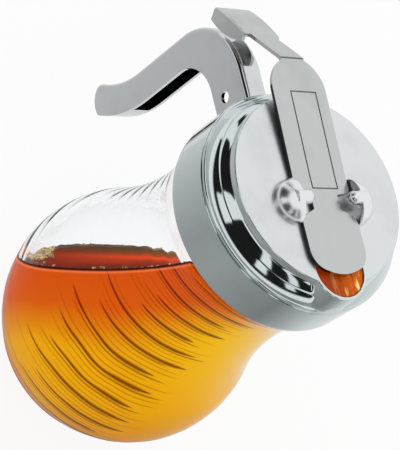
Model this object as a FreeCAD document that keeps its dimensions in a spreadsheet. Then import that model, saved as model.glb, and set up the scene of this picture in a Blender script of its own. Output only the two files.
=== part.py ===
import FreeCAD, Part
import math
import os

import Sketcher

# Honey dispenser: a ring-ribbed glass jar filled with honey, a stepped chrome lid with a
# pouring mouth, a channel-shaped handle and a sliding shutter with a thumb rest.
# Millimetres, +Z up, +X towards the mouth, origin at the middle of the jar's base.

# name, value, what it measures
SIZES = [
    ("bulb_radius", 42.1, "radius of the round belly, to the bottom of the grooves"),
    ("bulb_height", 31.4, "height of the belly's middle"),
    ("foot_radius", 26.6, "radius of the flat base that the jar stands on"),
    ("waist_radius", 30.1, "narrowest radius of the neck"),
    ("waist_height", 89.5, "height of the narrowest place"),
    ("flare_arc", 52.0, "radius of the arc that flares the neck up to the lid"),
    ("groove_first", 6.0, "height of the lowest groove"),
    ("groove_pitch", 7.0, "height from one groove to the next"),
    ("rib_arc", 16.0, "radius of each rounded rib"),
    ("wall", 2.5, "thickness of the glass wall"),
    ("floor", 4.2, "thickness of the glass base"),
    ("collar_top", 111.1, "height at which the lid stands on the glass"),
    ("finish_radius", 32.2, "outer radius of the glass mouth inside the lid"),
    ("finish_bore", 29.0, "inner radius of the glass mouth"),
    ("rim_top", 128.0, "height of the glass rim"),
    ("lid_top", 136.0, "height of the lid's flat top"),
    ("band_radius", 35.1, "outer radius of the lid's band"),
    ("band_top", 126.4, "height of the band's upper edge"),
    ("lid_bore", 33.2, "inner radius of the lid"),
    ("top_radius", 29.9, "radius of the flat top"),
    ("crease", 0.2, "width of the creases between the lid's bead and steps"),
    ("bead_arc", 0.7, "rounding of the bead above the band"),
    ("lower_radius", 34.3, "radius of the lower step at its foot"),
    ("lower_height", 127.85, "height of the lower step's foot"),
    ("lower_arc", 4.0, "rounding of the lower step"),
    ("upper_radius", 32.25, "radius where the lower step meets the upper one"),
    ("upper_height", 131.2, "height where the lower step meets the upper one"),
    ("upper_arc", 2.9, "rounding of the upper step"),
    ("upper_top", 133.5, "height of the upper step's top"),
    ("top_bend", 0.6, "rounding of the flat top's edge"),
    ("metal", 1.1, "thickness of the lid's sheet metal"),
    ("mouth_x", 24.7, "middle of the pouring mouth"),
    ("mouth_radius", 8.9, "radius of the pouring mouth"),
    ("mouth_depth", 8.3, "depth of the mouth's bore"),
    ("lip_radius", 9.8, "radius of the lip round the mouth, at the top"),
    ("lip_draft", 4.5, "widening of the lip towards the band, in degrees"),
    ("guide_x", 4.2, "place of the two guides along the lid"),
    ("guide_y", 10.8, "distance of a guide's flat face from the middle"),
    ("guide_radius", 7.5, "radius of a guide's half dome"),
    ("guide_height", 5.6, "height of a guide's half dome"),
    ("prong_radius", 2.2, "radius of the prong that holds the shutter down"),
    ("prong_height", 3.9, "height of the prong's axis above the lid"),
    ("prong_tip", 8.9, "distance of the prong's round tip from the middle"),
    ("prong_root", 2.5, "how far the prong runs into the dome"),
    ("shutter_gap", 0.25, "clearance under the shutter"),
    ("shutter_metal", 1.1, "thickness of the shutter"),
    ("shutter_half", 10.1, "half width of the shutter"),
    ("paddle_radius", 10.4, "half width of the shutter's round end"),
    ("paddle_x", 19.5, "where the round end starts, drawn back"),
    ("nose_x", 27.0, "front of the round end, drawn back"),
    ("nose_setback", 1.1, "how far the blunt front's corners stand back"),
    ("nose_half", 5.5, "half width of the round end's blunt front"),
    ("nose_arc", 14.3, "radius of the blunt front"),
    ("nose_corner", 6.6, "radius between the front and the sides"),
    ("notch_rear", 1.6, "rear end of the side notches, drawn back"),
    ("notch_front", 7.6, "front end of the side notches, drawn back"),
    ("notch_inner", 5.0, "distance of the notches from the middle"),
    ("notch_round", 1.6, "rounding of the notches' rear corners"),
    ("notch_rear_slant", 0.6, "slant of the notches' rear ends"),
    ("notch_front_slant", 0.8, "slant of the notches' front ends"),
    ("shoulder_start", 1.2, "where the round end's shoulders start ahead of the notches"),
    ("shoulder_end", 3.8, "where the round end's shoulders end ahead of the notches"),
    ("shoulder_arc", 3.6, "radius of the round end's shoulders"),
    ("lift_x", -3.0, "where the shutter starts to rise to the rear"),
    ("lift_angle", 2.5, "how steeply the shutter rises, in degrees"),
    ("heel_x", -40.6, "where the shutter bends down behind the lid"),
    ("heel_length", 10.0, "length of the shutter's rear shoulders"),
    ("heel_arc", 11.4, "radius of the shutter's rear shoulders"),
    ("heel_bend", 1.5, "inner radius of the bend down"),
    ("arm_half", 4.3, "half width of the arm behind the lid"),
    ("arm_angle", 39.5, "slope of the arm, in degrees"),
    ("rest_front", -54.6, "where the arm meets the thumb rest"),
    ("rest_x", -68.2, "rear end of the thumb rest"),
    ("rest_low", 118.6, "height of the thumb rest's rear end"),
    ("rest_arc", 60.0, "radius of the thumb rest's curve"),
    ("rest_half", 7.0, "half width of the thumb rest"),
    ("rest_front_depth", 2.4, "depth of the thumb rest's turned-down sides at the arm"),
    ("rest_depth", 4.1, "depth of the thumb rest's turned-down sides at the rear"),
    ("rest_side_arc", 25.0, "radius of the turned-down sides' lower edge"),
    ("rest_round", 1.0, "rounding of the thumb rest's long edges"),
    ("handle_half", 4.2, "half width of the handle"),
    ("handle_top", 119.8, "height of the handle's top at the lid"),
    ("handle_reach", -70.0, "how far back the handle reaches"),
    ("handle_bend", 23.5, "outer radius of the handle's bend"),
    ("handle_root", 104.0, "height of the underside of the handle's root"),
    ("root_start", 33.5, "distance from the axis at which the handle's blank starts"),
    ("channel_start", 37.0, "distance from the axis at which the handle's channel starts"),
    ("grip_depth", 10.5, "depth of the handle's sides along the grip"),
    ("grip_bend", 13.0, "inner radius of the handle's bend"),
    ("grip_end", 70.0, "height where the handle's tail starts to flick out"),
    ("tail_arc", 42.0, "radius of the flick at the handle's tail"),
    ("tail_angle", 30.0, "turn of the flick, in degrees"),
    ("tail_end_arc", 6.5, "rounding of the tail's end"),
    ("tail_stop", 62.0, "height of the channel's lower end"),
    ("handle_metal", 1.2, "thickness of the handle's sheet"),
    ("edge_round", 1.6, "rounding of the handle's outer edges"),
    ("pin_x", -42.0, "place of the pin hole"),
    ("pin_height", 109.7, "height of the pin hole"),
    ("pin_radius", 1.9, "radius of the pin hole"),
    ("level_tilt", 65.85, "tilt of the honey's surface, in degrees"),
    ("level_turn", 4.88, "turn of the honey's surface about the jar's axis, in degrees"),
    ("level_offset", 33.57, "distance of the honey's surface from the middle of the base"),
    ("pool_drop", 0.45, "depth of the honey's surface below the mouth's edge"),
    ("pool_depth", 18.0, "depth to which the honey stands up under the mouth"),
    ("honey_gap", 0.1, "clearance between the honey and the mouth's wall"),
    ("air_block", 400.0, "side of the block of air that is cut away above the honey"),
    ("lap", 0.5, "how far joined pieces run into one another"),
    ("spare", 6.0, "how far a cutting outline runs past the metal"),
]
RIB_COUNT = 14
CLOSE = 1e-3

doc = FreeCAD.newDocument("honey_dispenser")
sheet = doc.addObject("Spreadsheet::Sheet", "Sizes")
for row, (alias, value, note) in enumerate(SIZES, start=1):
    sheet.set("A%d" % row, alias)
    sheet.set("B%d" % row, str(value))
    sheet.set("C%d" % row, note)
    sheet.setAlias("B%d" % row, alias)
doc.recompute()


class Size:
    """A size that knows its number and the expression that gives it in the sheet."""

    def __init__(self, value, text):
        self.value = float(value)
        self.text = text

    def __add__(self, other):
        other = size(other)
        return Size(self.value + other.value, "(%s + %s)" % (self.text, other.text))

    def __sub__(self, other):
        other = size(other)
        return Size(self.value - other.value, "(%s - %s)" % (self.text, other.text))

    def __mul__(self, other):
        other = size(other)
        return Size(self.value * other.value, "(%s * %s)" % (self.text, other.text))

    def __truediv__(self, other):
        other = size(other)
        return Size(self.value / other.value, "(%s / %s)" % (self.text, other.text))

    def __neg__(self):
        return Size(-self.value, "(0 - %s)" % self.text)


def size(thing):
    """Turns an alias or a plain number into a Size."""
    if isinstance(thing, Size):
        return thing
    if isinstance(thing, str):
        return Size(sheet.get(thing), "Sizes.%s" % thing)
    return Size(thing, "(%.6f)" % thing)


def root(thing):
    """Square root."""
    return Size(math.sqrt(thing.value), "sqrt(%s)" % thing.text)


def cosine(angle):
    """Cosine of an angle in degrees."""
    return Size(math.cos(math.radians(angle.value)), "cos(%s * 1 deg)" % angle.text)


def sine(angle):
    """Sine of an angle in degrees."""
    return Size(math.sin(math.radians(angle.value)), "sin(%s * 1 deg)" % angle.text)


def tangent(angle):
    """Tangent of an angle in degrees."""
    return Size(math.tan(math.radians(angle.value)), "tan(%s * 1 deg)" % angle.text)


def bind(thing, name, value):
    """Ties a property of an object to the sheet."""
    thing.setExpression(name, size(value).text)


def arc_middle(start, end, radius, side):
    """Point half way along an arc between two points; side is +1 to the left, -1 to the right."""
    dx, dy = end[0] - start[0], end[1] - start[1]
    chord = math.hypot(dx, dy)
    bulge = radius - math.sqrt(max(radius ** 2 - chord ** 2 / 4, 0.0))
    return ((start[0] + end[0]) / 2 - side * dy / chord * bulge,
            (start[1] + end[1]) / 2 + side * dx / chord * bulge)


def draw(sketch, corners, arcs=None):
    """Draws a closed outline whose corners are Sizes, each bound to the sheet.

    arcs maps the number of a side to (radius, which way it bulges).
    """
    arcs = arcs or {}
    corners = [(size(x), size(y)) for x, y in corners]
    points = [FreeCAD.Vector(x.value, y.value, 0) for x, y in corners]
    ends = []
    for number, start in enumerate(points):
        end = points[(number + 1) % len(points)]
        if number in arcs:
            radius, side = arcs[number]
            middle = arc_middle((start.x, start.y), (end.x, end.y), size(radius).value, side)
            middle = FreeCAD.Vector(middle[0], middle[1], 0)
            forward = (middle - start).cross(end - middle).z > 0
            first, last = (start, end) if forward else (end, start)
            sketch.addGeometry(Part.Arc(first, middle, last), False)
            ends.append((1, 2) if forward else (2, 1))
        else:
            sketch.addGeometry(Part.LineSegment(start, end), False)
            ends.append((1, 2))
    for number in range(len(points)):
        following = (number + 1) % len(points)
        sketch.addConstraint(Sketcher.Constraint(
            "Coincident", number, ends[number][1], following, ends[following][0]))
    for number, corner in enumerate(corners):
        for way, value in zip(("DistanceX", "DistanceY"), corner):
            made = sketch.addConstraint(Sketcher.Constraint(
                way, -1, 1, number, ends[number][0], value.value))
            name = "corner_%d_%s" % (number, way[-1].lower())
            sketch.renameConstraint(made, name)
            bind(sketch, "Constraints." + name, value)
        if number in arcs:
            radius = size(arcs[number][0])
            made = sketch.addConstraint(Sketcher.Constraint("Radius", number, radius.value))
            sketch.renameConstraint(made, "arc_%d" % number)
            bind(sketch, "Constraints.arc_%d" % number, radius)


def plane_of(body, role):
    """One of a body's own three planes."""
    return [item for item in body.Origin.OriginFeatures if item.Role == role][0]


def new_body(name):
    """An empty body."""
    return doc.addObject("PartDesign::Body", name)


def body_sketch(body, name, role="XZ_Plane"):
    """An empty sketch on one of the body's planes."""
    sketch = body.newObject("Sketcher::SketchObject", name)
    sketch.AttachmentSupport = [(plane_of(body, role), "")]
    sketch.MapMode = "FlatFace"
    return sketch


def turned(body, name, sketch):
    """A full turn of a sketch about the jar's axis."""
    feature = body.newObject("PartDesign::Revolution", name)
    feature.Profile = sketch
    feature.ReferenceAxis = (sketch, ["V_Axis"])
    feature.Angle = 360.0
    doc.recompute()
    return feature


def padded(body, name, sketch, half):
    """A sketch made solid to both sides of its plane, by half its width each way."""
    feature = body.newObject("PartDesign::Pad", name)
    feature.Profile = sketch
    feature.Midplane = True
    bind(feature, "Length", size(half) * 2)
    doc.recompute()
    return feature


def cut_turned(body, name, sketch):
    """Cuts a full turn of a sketch about the jar's axis."""
    feature = body.newObject("PartDesign::Groove", name)
    feature.Profile = sketch
    feature.ReferenceAxis = (sketch, ["V_Axis"])
    feature.Angle = 360.0
    doc.recompute()
    must_shrink(feature)
    return feature


def pocketed(body, name, sketch, length, midplane=False):
    """Cuts a sketch straight into the body."""
    feature = body.newObject("PartDesign::Pocket", name)
    feature.Profile = sketch
    feature.Midplane = midplane
    bind(feature, "Length", length)
    must_shrink(feature)
    return feature


def rounded(body, name, base, test, radius):
    """Rounds the long edges of a feature that pass a test."""
    names = []
    for number, edge in enumerate(base.Shape.Edges, start=1):
        if test(edge):
            names.append("Edge%d" % number)
    feature = body.newObject("PartDesign::Fillet", name)
    feature.Base = (base, names)
    bind(feature, "Radius", radius)
    doc.recompute()
    return feature


def draw_circle(sketch, x, y, radius):
    """Draws a circle whose middle and radius are tied to the sheet."""
    ring = sketch.addGeometry(Part.Circle(), False)
    for way, value in (("DistanceX", x), ("DistanceY", y)):
        made = sketch.addConstraint(Sketcher.Constraint(way, -1, 1, ring, 3, size(value).value))
        sketch.renameConstraint(made, "middle_" + way[-1].lower())
        bind(sketch, "Constraints.middle_" + way[-1].lower(), value)
    made = sketch.addConstraint(Sketcher.Constraint("Radius", ring, size(radius).value))
    sketch.renameConstraint(made, "ring_radius")
    bind(sketch, "Constraints.ring_radius", radius)


def place(thing, x, y, z):
    """Puts an object's own origin at a point."""
    for way, value in zip("xyz", (x, y, z)):
        bind(thing, "Placement.Base." + way, value)


# ---- the jar's outline ----------------------------------------------------------------

def neck_arc(bulb, waist):
    """Radius of the hollow arc that runs from the waist and meets the belly smoothly."""
    drop = size("waist_height") - size("bulb_height")
    return (drop * drop + waist * waist - bulb * bulb) / ((bulb - waist) * 2)


def shoulder(bulb, waist):
    """Where the belly passes into the neck: radius and height."""
    arc = neck_arc(bulb, waist)
    drop = size("waist_height") - size("bulb_height")
    share = bulb / (arc + bulb)
    return (waist + arc) * share, size("bulb_height") + drop * share


def smooth_radius(height):
    """Radius of the jar's smooth outline at a height, to the bottom of the grooves."""
    bulb, waist = size("bulb_radius"), size("waist_radius")
    height = size(height)
    off = height - size("waist_height")
    if height.value < shoulder(bulb, waist)[1].value:
        rise = height - size("bulb_height")
        return root(bulb * bulb - rise * rise)
    arc = neck_arc(bulb, waist) if off.value < 0 else size("flare_arc")
    return waist + arc - root(arc * arc - off * off)


def make_jar():
    """Glass jar: ribs turned round a belly and neck, hollow, with a plain mouth inside the lid."""
    body = new_body("glass_jar")
    outer = body_sketch(body, "ribbed_outline")
    corners = [(0.0, 0.0), ("foot_radius", 0.0)]
    arcs = {}
    for number in range(RIB_COUNT + 1):
        height = size("groove_first") + size("groove_pitch") * number
        arcs[len(corners) - 1] = (size("rib_arc"), -1)
        corners.append((smooth_radius(height), height))
    arcs[len(corners) - 1] = (size("rib_arc"), -1)
    corners.append((smooth_radius("collar_top"), size("collar_top")))
    corners += [("finish_radius", "collar_top"), ("finish_radius", "rim_top"), (0.0, "rim_top")]
    draw(outer, corners, arcs)
    turned(body, "jar_blank", outer)

    hollow = body_sketch(body, "hollow_outline")
    inner_corners, inner_arcs = cavity_outline()
    draw(hollow, inner_corners, inner_arcs)
    cut_turned(body, "hollow", hollow)
    return body


def cavity_outline():
    """The jar's inside, from its floor to its rim, as corners and arcs."""
    bulb, waist = size("bulb_radius") - size("wall"), size("waist_radius") - size("wall")
    meet_radius, meet_height = shoulder(bulb, waist)
    rise = size("floor") - size("bulb_height")
    floor_radius = root(bulb * bulb - rise * rise)
    flare = size("flare_arc") + size("wall")
    across = flare + waist - size("finish_bore")
    bore_start = size("waist_height") + root(flare * flare - across * across)
    corners = [(0.0, "floor"), (floor_radius, "floor"), (meet_radius, meet_height),
               (waist, "waist_height"), ("finish_bore", bore_start),
               ("finish_bore", "rim_top"), (0.0, "rim_top")]
    arcs = {1: (bulb, -1), 2: (neck_arc(bulb, waist), 1), 3: (flare, 1)}
    return corners, arcs


def make_lid():
    """Pressed lid: stepped shell, pouring lip and mouth, and two half domes with prongs."""
    body = new_body("lid_shell")
    top, flat, metal = size("lid_top"), size("top_radius"), size("metal")
    band, ledge, crease = size("band_radius"), size("band_top"), size("crease")
    outline = body_sketch(body, "stepped_outline")
    draw(outline, [
        (0.0, "collar_top"), (band, "collar_top"), (band, ledge),
        (band - crease, ledge + crease), ("lower_radius", size("lower_height") - crease),
        ("lower_radius", "lower_height"), ("upper_radius", "upper_height"),
        (size("upper_radius") - crease, size("upper_height") + crease), (flat + crease, "upper_top"),
        (flat, size("upper_top") + crease), (flat, top - "top_bend"), (flat - "top_bend", top), (0.0, top),
    ], {3: ("bead_arc", -1), 5: ("lower_arc", -1), 7: ("upper_arc", -1), 10: ("top_bend", -1)})
    turned(body, "stepped_blank", outline)

    lip = body_sketch(body, "lip_outline", "XY_Plane")
    bind(lip, "AttachmentOffset.Base.z", top)
    draw_circle(lip, "mouth_x", 0.0, "lip_radius")
    pad = body.newObject("PartDesign::Pad", "lip")
    pad.Profile = lip
    pad.Reversed = True
    bind(pad, "Length", top - ledge)
    bind(pad, "TaperAngle", "lip_draft")
    doc.recompute()

    inside = body_sketch(body, "inside_outline")
    draw(inside, [
        (0.0, "collar_top"), ("lid_bore", "collar_top"), ("lid_bore", "lower_height"),
        (size("upper_radius") - metal, "upper_height"), (flat - metal, "upper_top"),
        (flat - metal, top - metal), (0.0, top - metal),
    ])
    cut_turned(body, "inside", inside)

    mouth = body_sketch(body, "mouth_outline", "XY_Plane")
    bind(mouth, "AttachmentOffset.Base.z", top)
    draw_circle(mouth, "mouth_x", 0.0, "mouth_radius")
    pocketed(body, "mouth", mouth, "mouth_depth")

    pieces = [body]
    for side in (1, -1):
        pieces += make_guide(side)
    lid = doc.addObject("Part::MultiFuse", "lid")
    lid.Shapes = pieces
    return lid


def make_guide(side):
    """Half dome on the lid with a round prong that reaches in over the shutter's edge."""
    name = "left" if side > 0 else "right"
    dome = doc.addObject("Part::Ellipsoid", name + "_dome")
    bind(dome, "Radius1", "guide_height")
    bind(dome, "Radius2", "guide_radius")
    dome.Angle1 = 0.0
    dome.Angle2 = 90.0
    dome.Angle3 = 180.0
    dome.Placement.Rotation = FreeCAD.Rotation(FreeCAD.Vector(0, 0, 1), 0 if side > 0 else 180)
    place(dome, "guide_x", size("guide_y") * side, "lid_top")

    prong = doc.addObject("Part::Cylinder", name + "_prong")
    bind(prong, "Radius", "prong_radius")
    bind(prong, "Height", size("guide_y") - size("prong_tip") + "prong_root")
    prong.Placement.Rotation = FreeCAD.Rotation(FreeCAD.Vector(1, 0, 0), -90 * side)
    place(prong, "guide_x", size("prong_tip") * side, size("lid_top") + size("prong_height"))

    tip = doc.addObject("Part::Sphere", name + "_tip")
    bind(tip, "Radius", "prong_radius")
    place(tip, "guide_x", size("prong_tip") * side, size("lid_top") + size("prong_height"))
    return [dome, prong, tip]


def make_honey():
    """Honey: the jar's inside below a tilted surface, and the honey drawn up into the mouth."""
    fill = new_body("fill")
    outline = body_sketch(fill, "fill_outline")
    corners, arcs = cavity_outline()
    draw(outline, corners, arcs)
    turned(fill, "full_jar", outline)

    air = doc.addObject("Part::Box", "air_above")
    for edge in ("Length", "Width", "Height"):
        bind(air, edge, "air_block")
    turn = FreeCAD.Rotation(FreeCAD.Vector(0, 0, 1), sheet.get("level_turn"))
    tilt = FreeCAD.Rotation(FreeCAD.Vector(0, 1, 0), -sheet.get("level_tilt"))
    rotation = turn.multiply(tilt)
    half = sheet.get("air_block") / 2
    corner = FreeCAD.Vector(-half, -half, sheet.get("level_offset"))
    air.Placement = FreeCAD.Placement(rotation.multVec(corner), rotation)

    column = doc.addObject("Part::Cylinder", "column")
    bind(column, "Radius", size("mouth_radius") - "honey_gap")
    bind(column, "Height", "pool_depth")
    place(column, "mouth_x", 0.0, size("rim_top") - size("pool_depth"))

    emptied = doc.addObject("Part::Cut", "air_round_column")
    emptied.Base = air
    emptied.Tool = column
    pool = doc.addObject("Part::Cut", "pool")
    pool.Base = fill
    pool.Tool = emptied

    plug = doc.addObject("Part::Cylinder", "plug")
    bind(plug, "Radius", size("mouth_radius") - "honey_gap")
    bind(plug, "Height", size("lid_top") - size("pool_drop") - size("rim_top"))
    place(plug, "mouth_x", 0.0, "rim_top")

    honey = doc.addObject("Part::MultiFuse", "honey")
    honey.Shapes = [pool, plug]
    return honey


def make_handle():
    """Folded channel: a root on the band, a wide bend, a straight grip and a flicked tail."""
    body = new_body("handle")
    back, top, bend = size("handle_reach"), size("handle_top"), size("handle_bend")
    root_low, inner = size("handle_root"), size("grip_bend")
    half, metal, spare = size("handle_half"), size("handle_metal"), size("spare")
    tail, angle = size("tail_arc"), size("tail_angle")
    front, pivot, wide = back + "grip_depth", back - tail, tail + "grip_depth"
    side = body_sketch(body, "side_outline")
    draw(side, [
        (-size("root_start"), top), (back + bend, top), (back, top - bend), (back, "grip_end"),
        (pivot + tail * cosine(angle), size("grip_end") - tail * sine(angle)),
        (pivot + wide * cosine(angle), size("grip_end") - wide * sine(angle)),
        (front, "grip_end"), (front, root_low - inner), (front + inner, root_low),
        (-size("root_start"), root_low),
    ], {1: (bend, -1), 3: (tail, 1), 4: ("tail_end_arc", -1), 5: (wide, -1), 7: (inner, 1)})
    blank = padded(body, "blank", side, half)
    rounded(body, "rounded_edges", blank, on_handle_back, "edge_round")

    hollow = body_sketch(body, "channel_outline")
    draw(hollow, [
        (-size("channel_start"), top - metal), (back + bend, top - metal), (back + metal, top - bend),
        (back + metal, "tail_stop"), (front + spare, "tail_stop"),
        (front + spare, root_low - inner - spare), (front + inner, root_low - spare),
        (-size("channel_start"), root_low - spare),
    ], {1: (bend - metal, -1)})
    pocketed(body, "channel", hollow, (half - metal) * 2, midplane=True)

    seat = body_sketch(body, "seat_outline")
    draw(seat, [(0.0, root_low - spare), ("band_radius", root_low - spare),
                ("band_radius", top + spare), (0.0, top + spare)])
    cut_turned(body, "seat", seat)

    pin = body_sketch(body, "pin_outline")
    draw_circle(pin, "pin_x", "pin_height", "pin_radius")
    pocketed(body, "pin_hole", pin, half * 2 + spare, midplane=True)
    return body


def on_handle_back(edge):
    """True for a long edge of the handle's top, bend, grip or tail, on the side away from the jar."""
    back, top, bend = sheet.get("handle_reach"), sheet.get("handle_top"), sheet.get("handle_bend")
    tail, grip_end = sheet.get("tail_arc"), sheet.get("grip_end")
    length = edge.LastParameter - edge.FirstParameter
    points = [edge.valueAt(edge.FirstParameter + length * share) for share in (0.0, 0.5, 1.0)]
    if abs(points[0].y - points[2].y) > CLOSE:
        return False
    for point in points:
        from_bend = math.hypot(point.x - back - bend, point.z - top + bend) - bend
        from_tail = math.hypot(point.x - back + tail, point.z - grip_end) - tail
        if min(abs(point.z - top), abs(point.x - back), abs(from_bend), abs(from_tail)) > CLOSE:
            return False
    return True


def make_shutter():
    """Sliding shutter: a notched plate, a bend behind the lid, an arm and a thumb rest."""
    low = size("lid_top") + "shutter_gap"
    rise = (size("lift_x") - "heel_x") * tangent(size("lift_angle"))
    shutter = doc.addObject("Part::MultiFuse", "shutter")
    shutter.Shapes = [make_plate(low, rise), *make_lever(low + rise)]
    return shutter


def make_plate(low, rise):
    """The plate: its plan, notched for the guides, crossed with its slightly lifted section."""
    heel, half, wide = size("heel_x"), size("shutter_half"), size("paddle_radius")
    rear, front, depth = size("notch_rear"), size("notch_front"), size("notch_inner")
    corner, start, nose = size("notch_round"), size("shoulder_start"), size("nose_x")
    plan = new_body("plan")
    outline = body_sketch(plan, "plan_outline", "XY_Plane")
    bind(outline, "AttachmentOffset.Base.z", low - "spare")
    right = [
        (heel, size("arm_half")), (heel + "heel_length", half), (rear - corner, half), (rear, half - corner),
        (rear + "notch_rear_slant", depth), (front - "notch_front_slant", depth),
        (front + start, half - start), (front + "shoulder_end", wide), (size("paddle_x"), wide),
        (nose - "nose_setback", size("nose_half")),
    ]
    left = [(x, -y) for x, y in reversed(right)]
    arcs = {0: ("heel_arc", 1), 2: (corner, 1), 6: ("shoulder_arc", 1), 8: ("nose_corner", 1)}
    last = 2 * len(right) - 2
    arcs.update({last - number: arc for number, arc in arcs.items()})
    arcs[len(right) - 1] = ("nose_arc", 1)
    draw(outline, right + left, arcs)
    pad = plan.newObject("PartDesign::Pad", "plan_pad")
    pad.Profile = outline
    bind(pad, "Length", size("spare") * 2)
    doc.recompute()

    section = new_body("section")
    drawn = body_sketch(section, "section_outline")
    ahead, thick = nose + "spare", size("shutter_metal")
    draw(drawn, [(heel, low + rise), ("lift_x", low), (ahead, low), (ahead, low + thick),
                 ("lift_x", low + thick), (heel, low + rise + thick)])
    padded(section, "section_pad", drawn, wide + "spare")
    plate = doc.addObject("Part::Common", "plate")
    plate.Base = plan
    plate.Tool = section
    return plate


def make_lever(low):
    """The arm, bent down from the plate's rear, and the thumb rest with turned-down sides."""
    thick, angle, lap, spare = size("shutter_metal"), size("arm_angle"), size("lap"), size("spare")
    down, along = sine(angle), cosine(angle)
    heel, inner = size("heel_x"), size("heel_bend")
    outer = inner + thick
    centre = low - inner
    bend_x, bend_z = heel - outer * down, centre + outer * along
    end_x = size("rest_front")
    end_z = bend_z - (bend_x - end_x) * tangent(angle)
    arm = new_body("arm")
    bent = body_sketch(arm, "arm_outline")
    draw(bent, [
        (heel + lap, low), (heel + lap, low + thick), (heel, low + thick), (bend_x, bend_z), (end_x, end_z),
        (end_x + thick * down, end_z - thick * along), (heel - inner * down, centre + inner * along),
        (heel, low),
    ], {2: (outer, -1), 6: (inner, 1)})
    padded(arm, "arm_pad", bent, "arm_half")

    def under(x, z, depth, behind=0.0):
        """A point at a depth below the arm's slope, and so far towards its rear."""
        depth, behind = size(depth), size(behind)
        return x + depth * down - behind * along, z - depth * along - behind * down

    front_x, front_z = end_x + lap * along, end_z + lap * down
    rear_x, rear_z = size("rest_x"), size("rest_low")
    rest = new_body("thumb_rest")
    cap = body_sketch(rest, "rest_outline")
    draw(cap, [(front_x, front_z), (rear_x, rear_z), under(rear_x, rear_z, "rest_depth"),
               under(front_x, front_z, "rest_front_depth")],
         {0: ("rest_arc", -1), 2: ("rest_side_arc", -1)})
    blank = padded(rest, "rest_blank", cap, "rest_half")
    rounded(rest, "rest_edges", blank, on_rest_top, "rest_round")
    hollow = body_sketch(rest, "rest_hollow")
    draw(hollow, [under(front_x, front_z, thick, -spare), under(front_x, front_z, thick),
                  under(rear_x, rear_z, thick), under(rear_x, rear_z, thick, spare),
                  under(rear_x, rear_z, spare * 2, spare), under(front_x, front_z, spare * 2, -spare)],
         {1: (size("rest_arc") - thick, -1)})
    pocketed(rest, "rest_underside", hollow, (size("rest_half") - thick) * 2, midplane=True)
    return [arm, rest]


def on_rest_top(edge):
    """True for the thumb rest's two long upper edges."""
    return isinstance(edge.Curve, Part.Circle) and abs(edge.Curve.Radius - sheet.get("rest_arc")) < CLOSE


def must_shrink(feature):
    """A cut that leaves the volume as it was has missed the solid."""
    doc.recompute()
    before = feature.BaseFeature.Shape.Volume
    if feature.Shape.Volume > before - CLOSE:
        raise RuntimeError(feature.Name + " cuts nothing")


def write_parts(pieces):
    """Checks every object, names the pieces and writes each one's STEP file."""
    doc.recompute()
    for thing in doc.Objects:
        if {"Invalid", "Error"} & set(thing.State):
            raise RuntimeError("%s failed: %s" % (thing.Name, thing.State))
    os.makedirs("parts", exist_ok=True)
    for label, thing in pieces.items():
        thing.Label = label
        shape = thing.Shape
        if shape.isNull() or not shape.isValid() or len(shape.Solids) != 1:
            raise RuntimeError("%s is not one valid solid: %d" % (label, len(shape.Solids)))
        shape.exportStep("parts/%s.step" % label)
        box = shape.optimalBoundingBox(False)
        print("%s: %.1f cm3, x %.2f..%.2f, y %.2f..%.2f, z %.2f..%.2f" % (
            label, shape.Volume / 1000, box.XMin, box.XMax, box.YMin, box.YMax, box.ZMin, box.ZMax))


PIECES = {
    "glass_jar": make_jar(),
    "honey": make_honey(),
    "lid": make_lid(),
    "handle": make_handle(),
    "shutter": make_shutter(),
}
write_parts(PIECES)
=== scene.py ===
"""Honey dispenser: ringed glass jar, honey, stepped chrome lid, handle and sliding shutter."""

from __future__ import annotations

import logging
import math
import random
from dataclasses import dataclass, field
from enum import Enum
from typing import Sequence

import bmesh
import bpy
from mathutils import Matrix, Vector


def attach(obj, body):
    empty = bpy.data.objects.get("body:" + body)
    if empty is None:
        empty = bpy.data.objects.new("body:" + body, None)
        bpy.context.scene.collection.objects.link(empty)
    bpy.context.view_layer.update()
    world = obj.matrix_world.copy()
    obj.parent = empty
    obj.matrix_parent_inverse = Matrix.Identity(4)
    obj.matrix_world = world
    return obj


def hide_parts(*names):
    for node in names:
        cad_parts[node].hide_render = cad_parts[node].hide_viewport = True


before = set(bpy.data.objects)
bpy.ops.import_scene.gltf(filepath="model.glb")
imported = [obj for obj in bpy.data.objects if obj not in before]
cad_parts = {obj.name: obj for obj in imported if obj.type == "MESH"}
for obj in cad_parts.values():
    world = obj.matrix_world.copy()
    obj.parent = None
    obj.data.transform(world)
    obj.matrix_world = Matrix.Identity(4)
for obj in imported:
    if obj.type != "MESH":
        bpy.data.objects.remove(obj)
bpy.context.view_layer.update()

LOG = logging.getLogger("honey_dispenser")
MM = 0.001


class Body(Enum):
    """The two bodies that the pieces ride on."""

    JAR = "jar"
    SHUTTER = "shutter"


class Slot(Enum):
    """Material slots of the record."""

    GLASS = "clear_glass"
    HONEY = "honey"
    LID = "lid_chrome"
    HANDLE = "handle_chrome"
    SHUTTER = "shutter_steel"


def srgb(red: int, green: int, blue: int) -> tuple[float, float, float, float]:
    """Turns a display colour into the linear colour that shaders use.

    Args:
        red: Red from 0 to 255.
        green: Green from 0 to 255.
        blue: Blue from 0 to 255.

    Returns:
        Linear red, green, blue and an alpha of 1.
    """
    def linear(value: int) -> float:
        """Linear light of one channel."""
        share = value / 255.0
        return share / 12.92 if share <= 0.04045 else ((share + 0.055) / 1.055) ** 2.4

    return linear(red), linear(green), linear(blue), 1.0


# ---- nodes ----------------------------------------------------------------------------


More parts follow.
